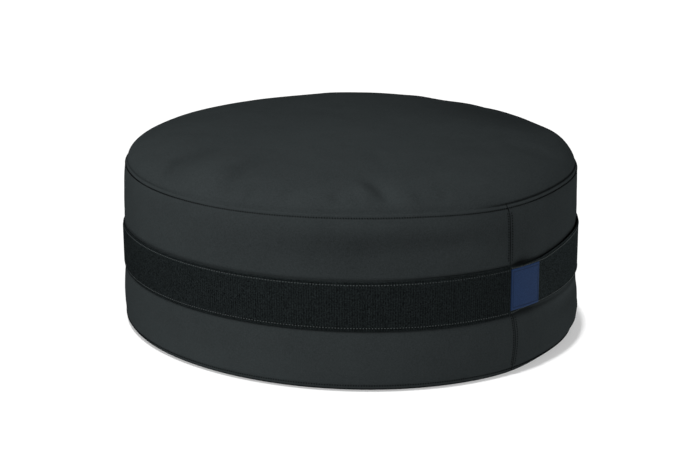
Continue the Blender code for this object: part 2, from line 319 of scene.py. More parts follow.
def handle_edges(degrees):
    """Foot and head of the loose handle in each direction."""
    turns, *edges = np.array(HANDLE_EDGES).T
    knots = np.linspace(-HANDLE_HALF_DEGREES, HANDLE_HALF_DEGREES, EDGE_KNOTS)
    soft = np.hanning(EDGE_BLUR) / np.hanning(EDGE_BLUR).sum()
    smooth = []
    for edge in edges:
        padded = np.pad(np.interp(knots, turns, edge), EDGE_BLUR // 2, "edge")
        blurred = np.convolve(padded, soft, "valid")
        smooth.append(np.interp(turn_between(0.0, degrees), knots, blurred))
    return smooth


def hollow_depth(degrees, height):
    """How far the cover is drawn in behind the handle, which it nearly touches at its edges."""
    from_end = HANDLE_HALF_DEGREES - np.abs(turn_between(0.0, degrees))
    foot, head = handle_edges(degrees)
    past = np.abs(height - (foot + head) / 2) - (head - foot) / 2
    hollow = HOLLOW_DEPTH * ease(1.0 - (past + HOLLOW_INSET) / HOLLOW_EASE_HEIGHT)
    room = CLEARANCE * ease(1.0 - (past - CLEARANCE_REACH) / HOLLOW_EASE_HEIGHT)
    room = room * ease(from_end / CLEARANCE_EASE_DEGREES)
    return room + hollow * ease(from_end / HOLLOW_EASE_DEGREES)


def side_seam_degrees(height):
    """Direction of the upright seam at each height."""
    table = np.array(SIDE_SEAM)
    return np.interp(height, table[:, 0], table[:, 1])


def from_seam(degrees, height):
    """How far a place lies from the upright seam, in metres round the side."""
    return np.abs(np.radians(turn_between(side_seam_degrees(height), degrees))) * SEAT_RADIUS


def side_seam_relief(degrees, height):
    """The upright seam: a crease between two lips that are pressed open and stitched."""
    away = from_seam(degrees, height)
    crease = -SEAM_CREASE_DEPTH * bell(away / SEAM_CREASE_HALF_WIDTH)
    lips = SEAM_LIP_RISE * (1.0 - ease((away - SEAM_LIP_WIDTH) / SEAM_LIP_EASE))
    row = -SEAM_ROW_DEPTH * bell((away - SEAM_ROW_FROM_CREASE) / SEAM_ROW_HALF_WIDTH)
    inside = ease((height - SEAM_FOOT) / SEAM_END_EASE) * ease((SEAM_HEAD - height) / SEAM_END_EASE)
    return (crease + lips + row) * inside


def side_spots(table, degrees, height):
    """The sum of a table's soft spots in each place of the side."""
    total = 0.0
    for centre, middle, half_degrees, half_height, amount in table:
        across = turn_between(centre, degrees) / half_degrees
        along = (height - middle) / half_height
        total = total + amount * np.exp(-(across ** 2) - along ** 2)
    return total


def stretched_spots(table, x, y):
    """The sum of a table's soft stretched spots in each place of the top."""
    total = 0.0
    for degrees, distance, turn, half_length, half_width, amount in table:
        angle = math.radians(degrees)
        slant = angle + math.radians(turn)
        away_x = x - distance * math.cos(angle)
        away_y = y - distance * math.sin(angle)
        along = (away_x * math.cos(slant) + away_y * math.sin(slant)) / half_length
        across = (away_y * math.cos(slant) - away_x * math.sin(slant)) / half_width
        total = total + amount * np.exp(-(along ** 2) - across ** 2)
    return total


def stitch_dimples(degrees, height):
    """Small puckers where the rim's and the foot's stitches go in."""
    rows = bell((height - RIM_STITCH_HEIGHT) / DIMPLE_HALF_HEIGHT)
    rows = rows + bell((height - FOOT_STITCH_HEIGHT) / DIMPLE_HALF_HEIGHT)
    return -DIMPLE_DEPTH * np.cos(np.radians(degrees) * STITCHES_ROUND) * rows


def rim_openness(degrees):
    """How far the folds of the rim seam stand apart, which sets the painted shade in its crease and
    the painted highlight on its lip.
    """
    opens, closes, left = RIM_OPENS, RIM_CLOSES, RIM_OPENS_LEFT
    right = ease((degrees - opens[0]) / opens[1])
    right = right * (1.0 - closes[2] * ease((degrees - closes[0]) / closes[1]))
    return right + left[2] * ease((left[0] - degrees) / left[1])


def crease_painted_shade(kind, height, degrees):
    """How much painted shade darkens the cover's colour in a place, in the seams' creases and at
    its foot, from 0 to 1.
    """
    if kind != "side":
        return 0.0 * degrees
    if height < BOTTOM_SHADE_HEIGHT:
        return 0.0 * degrees + BOTTOM_SHADE
    share = UPRIGHT_SHADE * bell(from_seam(degrees, height) / UPRIGHT_SHADE_HALF_WIDTH)
    if abs(height - LOWER_CREASE_HEIGHT) < TOLERANCE:
        return np.maximum(share, LOWER_CREASE_SHADE)
    if height > RIM_FOLD_HEIGHT - TOLERANCE:
        rim = RIM_SHADE_CLOSED + RIM_SHADE_OPENING * rim_openness(degrees)
        part = RIM_CREASE_SHADE if height == RIM_CREASE_HEIGHT else RIM_FOLD_SHADE
        return np.maximum(share, rim * part)
    return share


def painted_shading_share(kind, points, degrees):
    """How much painted light and shade lighten or darken the cover's colour in each place."""
    x, y, z = points.T
    if kind == "side":
        # A painted highlight along the edge of the rim's folded lip.
        lip = bell((z - rim_swell(degrees) - LIP_HEIGHT) / LIP_HALF_HEIGHT)
        lip = LIP_PAINTED_HIGHLIGHT * lip * (LIP_CLOSED + LIP_OPENING * rim_openness(degrees))
        return side_spots(SIDE_PAINTED_SHADING, degrees, z) + lip
    if kind == "top":
        return stretched_spots(TOP_PAINTED_SHADING, x, y)
    return 0.0 * z


def side_places(degrees, outset, height):
    """Places of the cover's side on the even cushion."""
    radius = SEAT_RADIUS + outset + radius_swing(degrees)
    radius = radius - hollow_depth(degrees, height) - tuck_depth(degrees, height)
    radius = radius - side_spots(SIDE_DENTS, degrees, height)
    radius = radius + side_seam_relief(degrees, height) + stitch_dimples(degrees, height)
    level = height + rim_swell(degrees) * ease(height / RIM_HEIGHT * 2.0 - 1.0)
    return around(radius, degrees, level)


def top_places(degrees, share):
    """Places of the top panel, at a share of the way from the axis to the rim seam."""
    rim_radius = SEAT_RADIUS + SIDE_SECTIONS[-1][0] + radius_swing(degrees)
    rim_radius = rim_radius - side_spots(SIDE_DENTS, degrees, RIM_HEIGHT)
    swell = rim_swell(degrees) * share ** SWELL_FLATNESS
    crown = CROWN_RISE * (1.0 - share ** CROWN_FLATNESS) ** CROWN_SHOULDER
    places = around(rim_radius * share, degrees, RIM_HEIGHT + swell + crown)
    dents = stretched_spots(TOP_DENTS, places[:, 0], places[:, 1])
    places[:, 2] -= dents * ease((1.0 - share) * TOP_DENT_FADE)
    return places


def smooth_sections(rows):
    """Ring places along a smooth curve through the rows' (outset, height) points."""
    points = [np.array(row[:2]) for row in rows]
    lengths = [np.linalg.norm(b - a) for a, b in zip(points, points[1:])]
    slopes = [(points[1] - points[0]) / lengths[0]]
    for before, after, first, second in zip(points, points[2:], lengths, lengths[1:]):
        slopes.append((after - before) / (first + second))
    slopes.append((points[-1] - points[-2]) / lengths[-1])
    places = []
    for index, (_, _, steps, fine) in enumerate(rows[:-1]):
        start, end = points[index:index + 2]
        leave, arrive = slopes[index] * lengths[index], slopes[index + 1] * lengths[index]
        for t in np.arange(steps) / steps:
            u = 1.0 - t
            place = start * (u * u * (1.0 + 2.0 * t)) + leave * (u * u * t)
            place = place + end * (t * t * (3.0 - 2.0 * t)) - arrive * (t * t * u)
            places.append((*place, 3 if fine else 1))
    return places + [(*points[-1], 3)]


# ---- mesh helpers

def add_object(name, data):
    """An object in the scene."""
    thing = bpy.data.objects.new(name, data)
    bpy.context.scene.collection.objects.link(thing)
    return thing


def add_piece(name, points, faces, material, sharp_degrees, uvs=None):
    """A smooth-shaded mesh object. uvs are in metres along the cloth, one per corner."""
    mesh = bpy.data.meshes.new(name)
    mesh.from_pydata(np.asarray(points).tolist(), [], faces)
    mesh.update()
    if uvs is not None:
        layer = mesh.uv_layers.new(name="cloth")
        layer.data.foreach_set("uv", np.asarray(uvs, np.float32).ravel())
    mesh.materials.append(material)
    mesh.shade_smooth()
    mesh.set_sharp_from_angle(angle=math.radians(sharp_degrees))
    piece = add_object(name, mesh)
    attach(piece, "root")
    return piece


def cover_columns():
    """Directions of the plain columns: about one a stitch, and closer beside the upright seam."""
    step = 360.0 / STITCHES_ROUND
    plain = [index * step - 180.0 for index in range(STITCHES_ROUND)]
    reach = SEAM_REACH * step
    middle = min(plain, key=lambda d: abs(d - SEAM_MIDDLE_DEGREES))
    far = [d for d in plain if abs(d - middle) > reach - TOLERANCE]
    count = SEAM_COLUMNS
    near = [middle - reach + 2.0 * reach * (index + 0.5) / count for index in range(count)]
    columns = sorted(far + near)
    for _ in range(len(columns) % 4):
        columns.remove(near.pop(count // 2))
    return np.array(columns)


def seam_following(columns, height):
    """The columns' directions at one height, shifted sideways beside the slanting seam."""
    shift = side_seam_degrees(height) - SEAM_MIDDLE_DEGREES
    return columns + shift * bell((columns - SEAM_MIDDLE_DEGREES) / SEAM_FOLLOW_DEGREES)


def ways(columns, share):
    """The columns at 3, 1, 0.5 or 0.25 of their number."""
    if share == 3:
        ends = np.concatenate([columns[1:], [columns[0] + 360.0]])
        parts = [columns + (ends - columns) * part / 3.0 for part in range(3)]
        return np.stack(parts, -1).ravel()
    return columns[:: round(1 / share)]


def band_faces(first_a, count_a, first_b, count_b):
    """Faces between ring a and ring b, where one may have a multiple of the other's points."""
    count = min(count_a, count_b)
    a, b = count_a // count, count_b // count
    return [
        [first_a + (i * a + k) % count_a for k in range(a + 1)]
        + [first_b + (i * b + k) % count_b for k in range(b, -1, -1)]
        for i in range(count)]


def skin_rows():
    """Every row of the cover from base to crown: kind, outset or share, height, ways round."""
    rows = [("base", share, 0.0, way) for share, way in BASE_RINGS]
    rows += [("side", *place) for place in smooth_sections(SIDE_SECTIONS)]
    return rows + [("top", share, RIM_HEIGHT, way) for share, way in CROWN_RINGS]


def ring_places(row, directions):
    """Places of one row of the cover on the even cushion."""
    kind, outset, height, _ = row
    if kind == "base":
        return outset * side_places(directions, SIDE_SECTIONS[0][0], 0.0 * directions)
    if kind == "side":
        return side_places(directions, outset, height)
    return top_places(directions, outset)


def row_lengths(rows):
    """How far each row lies from the middle of the base, along the cover's profile."""
    back = np.array([90.0])
    profile = [np.zeros(2)]
    for row in rows:
        place = ring_places(row, back)[0]
        profile.append(np.array([np.hypot(place[0], place[1]), place[2]]))
    return np.cumsum(np.linalg.norm(np.diff(profile, axis=0), axis=1))


def closed_rings(rings):
    """Points and faces of the closed skin over the rings, with a point at each pole."""
    crown = top_places(np.array([0.0]), np.array([0.0]))
    points = [np.zeros((1, 3))] + [ring for _, ring in rings] + [crown]
    firsts = np.cumsum([0] + [len(p) for p in points])
    count = len(points[1])
    faces = [[firsts[1] + i, firsts[0], firsts[1] + (i + 1) % count] for i in range(count)]
    kinds = ["base"] * count
    for index in range(1, len(rings)):
        band = band_faces(
            firsts[index], len(points[index]), firsts[index + 1], len(points[index + 1]))
        faces.extend(band)
        kinds.extend([rings[index][0]] * len(band))
    last = len(rings)
    count = len(points[last])
    start, pole = firsts[last], firsts[last + 1]
    faces.extend([start + i, start + (i + 1) % count, pole] for i in range(count))
    kinds.extend(["top"] * count)
    return np.concatenate(points), faces, kinds


# ---- soft filling

SLACK_COLUMNS = 192
SLACK_ROW_SPACING = 0.0034
SLACK_CAP = 0.0009
SLACK_FRAMES = 20
# The spare cloth's soft spots: how many round the side and to a metre up it, how much they
# differ, and the noise's fineness.
SLACK_SEED = Vector((3.1, 7.7, 1.9))
SLACK_ROUND, SLACK_UP, SLACK_SWING = 4.2, 18.0, 0.75
SLACK_NOISE = (0.8, 2.1, 3)
SLACK_BLUR = (0.06, 0.24, 0.4, 0.24, 0.06)
# What stays of the movement on the side, and where it fades.
SLACK_ON_SIDE, SLACK_SEAM_DEGREES = 0.7, 3.5
SLACK_TOP_FROM, SLACK_TOP_OVER, SLACK_RIM_OVER = 0.3, 0.35, 0.1
# Rows this near to the floor, to the rim seam and to the rim's radius are held.
HELD_FOOT, HELD_HEAD, HELD_TOP_SHARE = 0.006, RIM_HEIGHT - 0.0045, 0.985
HELD_HOLLOW = 0.001
CLOTH = {
    "quality": 6, "mass": 0.3, "tension_stiffness": 20.0, "compression_stiffness": 20.0,
    "shear_stiffness": 8.0, "bending_stiffness": 0.5, "use_pressure": True,
    "uniform_pressure_force": 4.0, "vertex_group_mass": "held",
    "vertex_group_shrink": "slack", "shrink_min": 0.01, "shrink_max": -0.05,
}


def slack_rows(rows, lengths):
    """Numbers of the rows that the simulated copy has: the held ones and others between."""
    chosen = []
    for index, row in enumerate(rows):
        held = row_is_held(row)
        if chosen and lengths[index] - lengths[chosen[-1]] < SLACK_ROW_SPACING:
            if held and not row_is_held(rows[chosen[-1]]):
                chosen[-1] = index
            continue
        chosen.append(index)
    return chosen


def row_is_held(row):
    """Whether a row lies on a seam, under the webbing or on the floor."""
    kind, outset, height, _ = row
    if kind == "base":
        return True
    if kind == "top":
        return outset > HELD_TOP_SHARE
    return height < HELD_FOOT or WEBBING_FOOT <= height <= WEBBING_HEAD or height > HELD_HEAD


def slack_share(directions, lengths):
    """A soft random share of spare cloth, from 0 to 1."""
    angle = np.radians(directions)
    shares = np.empty((len(lengths), len(directions)))
    for row, length in enumerate(lengths):
        for column, turn in enumerate(angle):
            place = Vector((
                math.cos(turn) * SLACK_ROUND, math.sin(turn) * SLACK_ROUND, length * SLACK_UP))
            shares[row, column] = noise.fractal(place + SLACK_SEED, *SLACK_NOISE)
    return np.clip(0.5 + SLACK_SWING * shares, 0.0, 1.0)


def add_group(piece, name, weights):
    """A vertex group with a weight for each point."""
    group = piece.vertex_groups.new(name=name)
    for level in np.unique(np.round(weights, 2)):
        members = np.nonzero(np.round(weights, 2) == level)[0].tolist()
        group.add(members, float(level), "REPLACE")


def pressed_out(points, faces, held, slack):
    """Where the points go when the filling presses the skin out."""
    mesh = bpy.data.meshes.new("filling_copy")
    mesh.from_pydata(points.tolist(), [], faces)
    copy = add_object("filling_copy", mesh)
    scene = bpy.context.scene
    add_group(copy, "held", held)
    add_group(copy, "slack", slack)
    cloth = copy.modifiers.new("cloth", "CLOTH")
    for name, value in CLOTH.items():
        setattr(cloth.settings, name, value)
    cloth.settings.effector_weights.gravity = 0.0
    cloth.collision_settings.use_self_collision = False
    cloth.point_cache.frame_start = 1
    cloth.point_cache.frame_end = SLACK_FRAMES
    for step in range(1, SLACK_FRAMES + 1):
        scene.frame_set(step)
    settled_copy = copy.evaluated_get(bpy.context.evaluated_depsgraph_get())
    after = settled_copy.to_mesh()
    places = np.empty(len(after.vertices) * 3)
    after.vertices.foreach_get("co", places)
    settled_copy.to_mesh_clear()
    bpy.data.objects.remove(copy)
    bpy.data.meshes.remove(mesh)
    scene.frame_set(1)
    return places.reshape(-1, 3)


def slack_field(rows):
    """How far the simulated skin moves away from its even form, in each row and direction.

    The part of the movement that a whole row shares is left out, so that the sizes and the
    outline stay. The rest is capped and fades to nothing at the seams.
    """
    lengths = row_lengths(rows)
    chosen = slack_rows(rows, lengths)
    places = lengths[chosen]
    directions = np.arange(SLACK_COLUMNS) * 360.0 / SLACK_COLUMNS - 180.0
    kept = [rows[index] for index in chosen]
    points, faces, _ = closed_rings([(row[0], ring_places(row, directions)) for row in kept])
    held_rows = np.array([row_is_held(row) for row in kept], float)
    behind = hollow_depth(directions[None, :], np.array([row[2] for row in kept])[:, None])
    held = np.maximum(held_rows[:, None], np.clip(behind / HELD_HOLLOW, 0.0, 1.0))
    slack = slack_share(directions, places)
    moved = pressed_out(
        points, faces, np.concatenate([[1.0], held.ravel(), [0.0]]),
        np.concatenate([[0.5], slack.ravel(), [0.5]]))
    shift = (moved - points)[1:-1].reshape(len(chosen), SLACK_COLUMNS, 3)
    angle = np.radians(directions)[None, :]
    outward = shift[..., 0] * np.cos(angle) + shift[..., 1] * np.sin(angle)
    across = shift[..., 1] * np.cos(angle) - shift[..., 0] * np.sin(angle)
    field = np.stack([outward, across, shift[..., 2]], -1)
    field = field - field.mean(axis=1, keepdims=True)
    field = sum(part * np.roll(field, step - 2, axis=1) for step, part in enumerate(SLACK_BLUR))
    size = np.linalg.norm(field, axis=-1, keepdims=True) + 1e-9
    field = field / size * SLACK_CAP * np.tanh(size / SLACK_CAP)
    on_side = np.array([row[0] == "side" for row in kept])[:, None]
    away = np.abs(turn_between(SEAM_MIDDLE_DEGREES, directions)) / SLACK_SEAM_DEGREES
    near_seam = np.where(on_side, ease(away)[None, :], 1.0)
    shares = np.array([row[1] for row in kept])[:, None]
    on_top = ease((shares - SLACK_TOP_FROM) / SLACK_TOP_OVER)
    on_top = on_top * ease((HELD_TOP_SHARE - shares) / SLACK_RIM_OVER)
    fade = np.where(on_side, SLACK_ON_SIDE, on_top) * (1.0 - held) * near_seam
    return places, field * fade[..., None]


def moved_by(field, place, directions):
    """The simulated movement at one row's place along the profile, in each direction."""
    places, grid = field
    row = np.clip(np.searchsorted(places, place) - 1, 0, len(places) - 2)
    share = ease((place - places[row]) / (places[row + 1] - places[row]))
    line = grid[row] * (1.0 - share) + grid[row + 1] * share
    turn = (directions + 180.0) % 360.0 / 360.0 * SLACK_COLUMNS
    base = np.floor(turn).astype(int)
    part = ease(turn - base)[:, None]
    move = line[base % SLACK_COLUMNS] * (1.0 - part) + line[(base + 1) % SLACK_COLUMNS] * part
    angle = np.radians(directions)
    return np.stack([
        move[:, 0] * np.cos(angle) - move[:, 1] * np.sin(angle),
        move[:, 0] * np.sin(angle) + move[:, 1] * np.cos(angle),
        move[:, 2]], -1)


# ---- materials

COVER_COLOUR = (0.0237, 0.028, 0.029)
WEBBING_COLOUR = (0.007, 0.0088, 0.0091)
LABEL_COLOUR = (0.0092, 0.0258, 0.074)
# Near black: the black thread's own colour with painted shade of the needle holes it sinks into.
BLACK_THREAD_AND_HOLE_SHADE_COLOUR = (0.0004, 0.0008, 0.001)
PALE_THREAD_COLOUR = (0.06, 0.068, 0.068)
# The webbing's lightness on the band, the handle's face and the handle's back: the face is a
# lighter copy for painted light, the back a darker copy for painted shade.
BAND_LIGHTNESS, HANDLE_PAINTED_LIGHT, INNER_PAINTED_SHADE = 1.06, 1.62, 0.6
WEAVE_PITCH = 0.00062
YARN_PITCH = 0.0009
RIB_PITCH = 0.002
TWILL_PITCH = 0.0006
LABEL_SELVEDGE = 0.0006


def add_node(tree, kind, **settings):
    """A node with its settings."""
    node = tree.nodes.new(kind)
    for name, value in settings.items():
        setattr(node, name, value)
    return node


def maths(tree, operation, *values):
    """The result of a Math node. Each value is a number or a socket."""
    node = add_node(tree, "ShaderNodeMath", operation=operation)
    for socket, value in zip(node.inputs, values):
        if isinstance(value, (int, float)):
            socket.default_value = value
        else:
            tree.links.new(value, socket)
    return node.outputs[0]


def noise_value(tree, size, detail, roughness):
    """Noise from 0 to 1 whose spots are about size metres across."""
    source = add_node(tree, "ShaderNodeTexCoord")
    texture = add_node(tree, "ShaderNodeTexNoise")
    for name, value in (("Scale", 1.0 / size), ("Detail", detail), ("Roughness", roughness)):
        texture.inputs[name].default_value = value
    tree.links.new(source.outputs["Object"], texture.inputs["Vector"])
    return texture.outputs["Fac"]


def cloth_axes(tree):
    """The two cloth coordinates in metres."""
    source = add_node(tree, "ShaderNodeUVMap", uv_map="cloth")
    split = add_node(tree, "ShaderNodeSeparateXYZ")
    tree.links.new(source.outputs["UV"], split.inputs["Vector"])
    return split.outputs["X"], split.outputs["Y"]


def wave(tree, axis, pitch, phase=0.0):
    """A sine along a cloth coordinate, from -1 to 1."""
    turns = maths(tree, "MULTIPLY_ADD", axis, 2.0 * math.pi / pitch, phase)
    return maths(tree, "SINE", turns)


def colour_by(tree, shader, share, colour, darkest, lightest):
    """The shader's colour, from the colour times darkest to the colour times lightest."""
    ramp = add_node(tree, "ShaderNodeValToRGB")
    for element, factor in zip(ramp.color_ramp.elements, (darkest, lightest)):
        element.color = (*(part * factor for part in colour), 1.0)
    tree.links.new(share, ramp.inputs["Fac"])
    tree.links.new(ramp.outputs["Color"], shader.inputs["Base Color"])


def bump(tree, shader, height, strength, distance):
    """Fine relief on the shader."""
    node = add_node(tree, "ShaderNodeBump")
    node.inputs["Strength"].default_value = strength
    node.inputs["Distance"].default_value = distance
    tree.links.new(height, node.inputs["Height"])
    tree.links.new(node.outputs["Normal"], shader.inputs["Normal"])


def shader_material(name, roughness, specular):
    """A Principled material: the material, its node tree and its shader."""
    material = bpy.data.materials.new(name)
    material.use_nodes = True
    tree = material.node_tree
    shader = tree.nodes["Principled BSDF"]
    shader.inputs["Roughness"].default_value = roughness
    shader.inputs["Specular IOR Level"].default_value = specular
    return material, tree, shader


def make_cover_cloth():
    """Fine plain-woven charcoal cotton with soft mottling, painted shade in its creases and painted
    light and shade patches.
    """
    material, tree, shader = shader_material("cover_cloth_look", 0.85, 0.0)
    u, v = cloth_axes(tree)
    threads = maths(tree, "MULTIPLY", wave(tree, u, WEAVE_PITCH), wave(tree, v, WEAVE_PITCH))
    grain = noise_value(tree, 0.0011, 2.0, 0.7)
    mottle = noise_value(tree, 0.024, 3.0, 0.55)
    wear = noise_value(tree, 0.07, 2.0, 0.5)
    share = maths(tree, "MULTIPLY_ADD", grain, 0.76, -0.38)
    for part, amount in ((mottle, 0.17), (wear, 0.11), (threads, 0.06)):
        share = maths(tree, "MULTIPLY_ADD", part, amount, share)
    share = maths(tree, "ADD", share, 0.33)
    share = maths(tree, "MULTIPLY_ADD", share, 0.72, 0.26)
    # Painted shade: the crease attribute darkens the colour in the seams' creases and at the
    # cover's foot.
    crease = add_node(tree, "ShaderNodeAttribute", attribute_name="crease")
    # Painted light and shade: patches that lighten or darken the cloth's colour.
    painted_shading = add_node(tree, "ShaderNodeAttribute", attribute_name="painted_shading")
    share = maths(tree, "ADD", share, painted_shading.outputs["Fac"])
    share = maths(tree, "MULTIPLY_ADD", crease.outputs["Fac"], -0.8, share)
    colour_by(tree, shader, share, COVER_COLOUR, 0.12, 1.6)
    relief = maths(tree, "MULTIPLY_ADD", threads, 0.35, grain)
    bump(tree, shader, relief, 0.5, 0.00015)
    return material


def make_webbing(name, lightness):
    """Dense black-grey cotton webbing: ribs across it and speckled yarn."""
    material, tree, shader = shader_material(name, 0.9, 0.0)
    u, v = cloth_axes(tree)
    yarn = wave(tree, v, YARN_PITCH)
    rib = wave(tree, u, RIB_PITCH, math.pi / 2)
    speckle = noise_value(tree, 0.001, 0.0, 0.5)
    blotch = noise_value(tree, 0.006, 2.0, 0.6)
    share = maths(tree, "MULTIPLY_ADD", speckle, 1.3, -0.65)
    share = maths(tree, "MULTIPLY_ADD", blotch, 0.12, share)
    share = maths(tree, "MULTIPLY_ADD", rib, 0.14, share)
    share = maths(tree, "ADD", share, 0.4)
    colour_by(tree, shader, share, WEBBING_COLOUR, lightness * 0.4, lightness * 2.1)
    relief = maths(tree, "MULTIPLY_ADD", yarn, 0.3, speckle)
    bump(tree, shader, relief, 0.7, 0.0003)
    return material


def make_label_cloth():
    """Closely woven navy ribbon with a darker line inside its edge, darkest at the foot."""
    material, tree, shader = shader_material("label_look", 0.7, 0.08)
    u, v = cloth_axes(tree)
    twill = wave(tree, maths(tree, "ADD", u, v), TWILL_PITCH)
    speckle = noise_value(tree, 0.0007, 1.0, 0.6)
    share = maths(tree, "MULTIPLY_ADD", twill, 0.14, -0.17)
    share = maths(tree, "MULTIPLY_ADD", speckle, 1.3, share)
    beside = maths(tree, "MINIMUM", u, maths(tree, "SUBTRACT", LABEL_WIDTH, u))
    above = maths(tree, "MINIMUM", v, maths(tree, "SUBTRACT", LABEL_HEAD - LABEL_FOOT, v))
    edge = maths(tree, "MINIMUM", beside, above)
    from_line = maths(tree, "ABSOLUTE", maths(tree, "SUBTRACT", edge, LABEL_BORDER))
    line = maths(tree, "LESS_THAN", from_line, BORDER_HALF_WIDTH)
    low = maths(tree, "LESS_THAN", v, LABEL_BORDER + LABEL_SELVEDGE)
    selvedge = maths(tree, "LESS_THAN", beside, LABEL_SELVEDGE)
    low_line = maths(tree, "MULTIPLY", line, low)
    for part, amount in ((selvedge, -0.35), (line, -0.5), (low_line, -0.4)):
        share = maths(tree, "MULTIPLY_ADD", part, amount, share)
    colour_by(tree, shader, share, LABEL_COLOUR, 0.55, 1.45)
    bump(tree, shader, twill, 0.3, 0.0001)
    return material


def make_thread(name, colour):
    """Twisted sewing thread."""
    material, tree, shader = shader_material(name, 0.8, 0.06)
    fibre = noise_value(tree, 0.0005, 1.0, 0.5)
    colour_by(tree, shader, fibre, colour, 0.6, 1.4)
    return material


cover_cloth = make_cover_cloth()
webbing_cloth = make_webbing("webbing_look", BAND_LIGHTNESS)
# Lit and shaded copies of the one webbing: painted light on the handle's face, painted shade on its
# back.
handle_painted_light_cloth = make_webbing("handle_webbing_painted_light_look", HANDLE_PAINTED_LIGHT)
inner_painted_shade_cloth = make_webbing("inner_webbing_painted_shade_look", INNER_PAINTED_SHADE)
label_cloth = make_label_cloth()
dark_thread = make_thread("dark_thread_look", BLACK_THREAD_AND_HOLE_SHADE_COLOUR)
pale_thread = make_thread("pale_thread_look", PALE_THREAD_COLOUR)


# ---- cover

COVER_SHARP_DEGREES = 75.0


def cover_uvs(points, faces, kinds):
    """Cloth coordinates in metres: unrolled on the side, flat on the top and the base."""
    uvs = []
    angles = np.arctan2(points[:, 1], points[:, 0])
    for face, kind in zip(faces, kinds):
        if kind == "side":
            turns = angles[face]
            if turns.max() - turns.min() > math.pi:
                turns = np.where(turns < 0.0, turns + 2.0 * math.pi, turns)
            uvs.extend(zip(turns * SEAT_RADIUS, points[face, 2]))
        else:
            uvs.extend(zip(points[face, 0], points[face, 1]))
    return uvs


def make_cover():
    """The stuffed cover as one closed form, with its seams and soft dents."""
    columns = cover_columns()
    rows = skin_rows()
    field = slack_field(rows)
    rings, crease_shades, painted_shadings = [], [np.zeros(1)], [np.zeros(1)]
    for row, place in zip(rows, row_lengths(rows)):
        kind, _, height, way = row
        directions = ways(seam_following(columns, height), way)
        ring = ring_places(row, directions) + moved_by(field, place, directions)
        rings.append((kind, ring))
        crease_shades.append(crease_painted_shade(kind, height, directions))
        painted_shadings.append(painted_shading_share(kind, ring, directions))
    points, faces, kinds = closed_rings(rings)
    uvs = cover_uvs(points, faces, kinds)
    cover = add_piece(
        "stuffed_cover", settled(points), faces, cover_cloth, COVER_SHARP_DEGREES, uvs)
    # Point attributes that the cloth reads: painted shade in the creases, and painted light and
    # shade patches.
    for name, shares in (("crease", crease_shades), ("painted_shading", painted_shadings)):
        layer = cover.data.attributes.new(name, "FLOAT", "POINT")
        values = np.concatenate(shares + [np.zeros(1)])
        layer.data.foreach_set("value", values.astype(np.float32))
    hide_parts("cushion")
    return cover


cover = make_cover()


# ---- webbing

# Cross-section of the webbing from its edge to its face.
# Columns: distance in from the edge, share of the thickness left out, share of the ribs.
SELVEDGE = (
    (0, 0.45, 0),
    (0.0003, 0.3, 0.3),
    (0.0009, 0.26, 0.5),
    (0.0014, 0.36, 0.4),
    (0.0019, 0.5, 0.2),  # groove inside the selvedge
    (0.0025, 0.28, 0.3),  # stitched line
    (0.0031, 0.02, 0.7),
)
FACE_INSET, BACK_INSET = 0.004, 0.0004
FACE_ROWS = 8
STEPS_A_RIB = 4
RIB_DEPTH = 0.00018
WEBBING_SHARP_DEGREES = 50.0

# The band sags at the back, and is a little wider near the handle.
BAND_DIP_DEGREES = 190.0
BAND_DIP_HALF_DEGREES = 14.0
BAND_DIP_HEAD, BAND_DIP_FOOT = 0.0046, 0.001
BAND_WIDER_FOOT, BAND_NARROWER_HEAD = 0.0009, 0.0007
NEAR_HANDLE_DEGREES, NEAR_HANDLE_EASE_DEGREES = 50.0, 25.0
GAP_DEGREES = 0.05
PLY_GAP = 0.0002
INNER_PLY_INSET = 0.0003


def strip_loop(thickness, width):
    """Cross-section of a webbing strip as (rise from its back, height, share of the ribs)."""
    lower = [(thickness * (1.0 - lost), inset, ribs) for inset, lost, ribs in SELVEDGE]
    upper = [(rise, width - inset, ribs) for rise, inset, ribs in reversed(lower)]
    span = width - FACE_INSET - FACE_INSET
    face = [
        (thickness, FACE_INSET + span * row / FACE_ROWS, 1.0) for row in range(FACE_ROWS + 1)]
    back = [(0.0, width - BACK_INSET, 0.0), (0.0, BACK_INSET, 0.0)]
    return lower + face + upper + back


def make_strip(name, first, last, shape, material):
    """A strip of ribbed webbing round the side, from one direction to another."""
    sweep = (last - first) % 360.0
    ribs = round(math.radians(sweep) * WEBBING_OUTER_RADIUS / RIB_PITCH)
    count = ribs * STEPS_A_RIB + 1
    directions = first + np.linspace(0.0, sweep, count)
    inner, outer, foot, head = shape(directions)
    groove = 0.5 - 0.5 * np.cos(np.arange(count) * 2.0 * math.pi / STEPS_A_RIB)
    points = np.stack([
        around(inner + out - RIB_DEPTH * share * groove, directions, foot + up)
        for out, up, share in strip_loop(outer - inner, head - foot)], 1)
    n = points.shape[1]
    i = np.arange(count - 1)[:, None] + np.zeros((1, n), int)
    j = np.arange(n)[None, :] + np.zeros((count - 1, 1), int)
    k = (j + 1) % n
    quads = np.stack([i * n + j, i * n + n + j, i * n + n + k, i * n + k], -1).reshape(-1, 4)
    along = math.radians(1.0) * WEBBING_OUTER_RADIUS * directions
    loop = np.concatenate([points[0], points[0, :1]])
    after = np.concatenate([[0.0], np.cumsum(np.linalg.norm(np.diff(loop, axis=0), axis=1))])
    u = along[np.stack([i, i + 1, i + 1, i], -1)]
    v = after[np.stack([j, j, j + 1, j + 1], -1)]
    uvs = np.concatenate([np.stack([u.ravel(), v.ravel()], -1), np.zeros((2 * n, 2))])
    ends = [list(range(n)), [(count - 1) * n + row for row in reversed(range(n))]]
    return add_piece(
        name, settled(points.reshape(-1, 3)), quads.tolist() + ends, material,
        WEBBING_SHARP_DEGREES, uvs)


